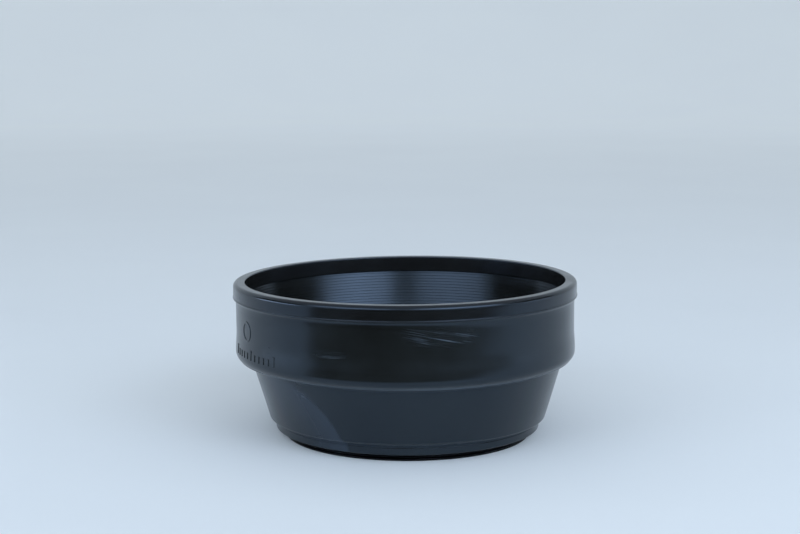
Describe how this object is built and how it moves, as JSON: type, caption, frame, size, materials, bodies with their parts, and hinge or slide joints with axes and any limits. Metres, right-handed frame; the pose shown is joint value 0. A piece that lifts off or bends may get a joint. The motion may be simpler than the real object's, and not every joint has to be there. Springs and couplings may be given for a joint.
{
  "type": "lens hood",
  "caption": "Collapsible rubber lens hood: wide ribbed front section over a folding cone, held by a clamp ring on a screw-in metal filter-thread mount.",
  "frame": {"origin": "on the optical axis at the lower face of the mount ring, where the hood stands", "axes": "+Z along the optical axis towards the wide front opening"},
  "size_m": [0.1068, 0.1068, 0.0485],
  "materials": {
    "black_anodised_aluminium": "fine-turned aluminium, anodised satin black",
    "moulded_rubber": "compression-moulded black rubber, satin, lightly dusty and scuffed",
    "moulded_rubber_rim": "smooth moulded black rubber, slightly glossier on the handled rim"
  },
  "bodies": {
    "mount": {"mount_ring": "black_anodised_aluminium", "clamp_ring": "black_anodised_aluminium", "rear_cuff": "moulded_rubber", "cone_wall": "moulded_rubber"},
    "front_section": {"front_barrel": "moulded_rubber", "front_rim": "moulded_rubber_rim"}
  },
  "joints": [
    {"name": "hood_fold", "type": "slide", "parent": "mount", "child": "front_section", "axis": [0, 0, -1], "range_m": [0, 0.0215], "deforming": ["cone_wall"]}
  ]
}
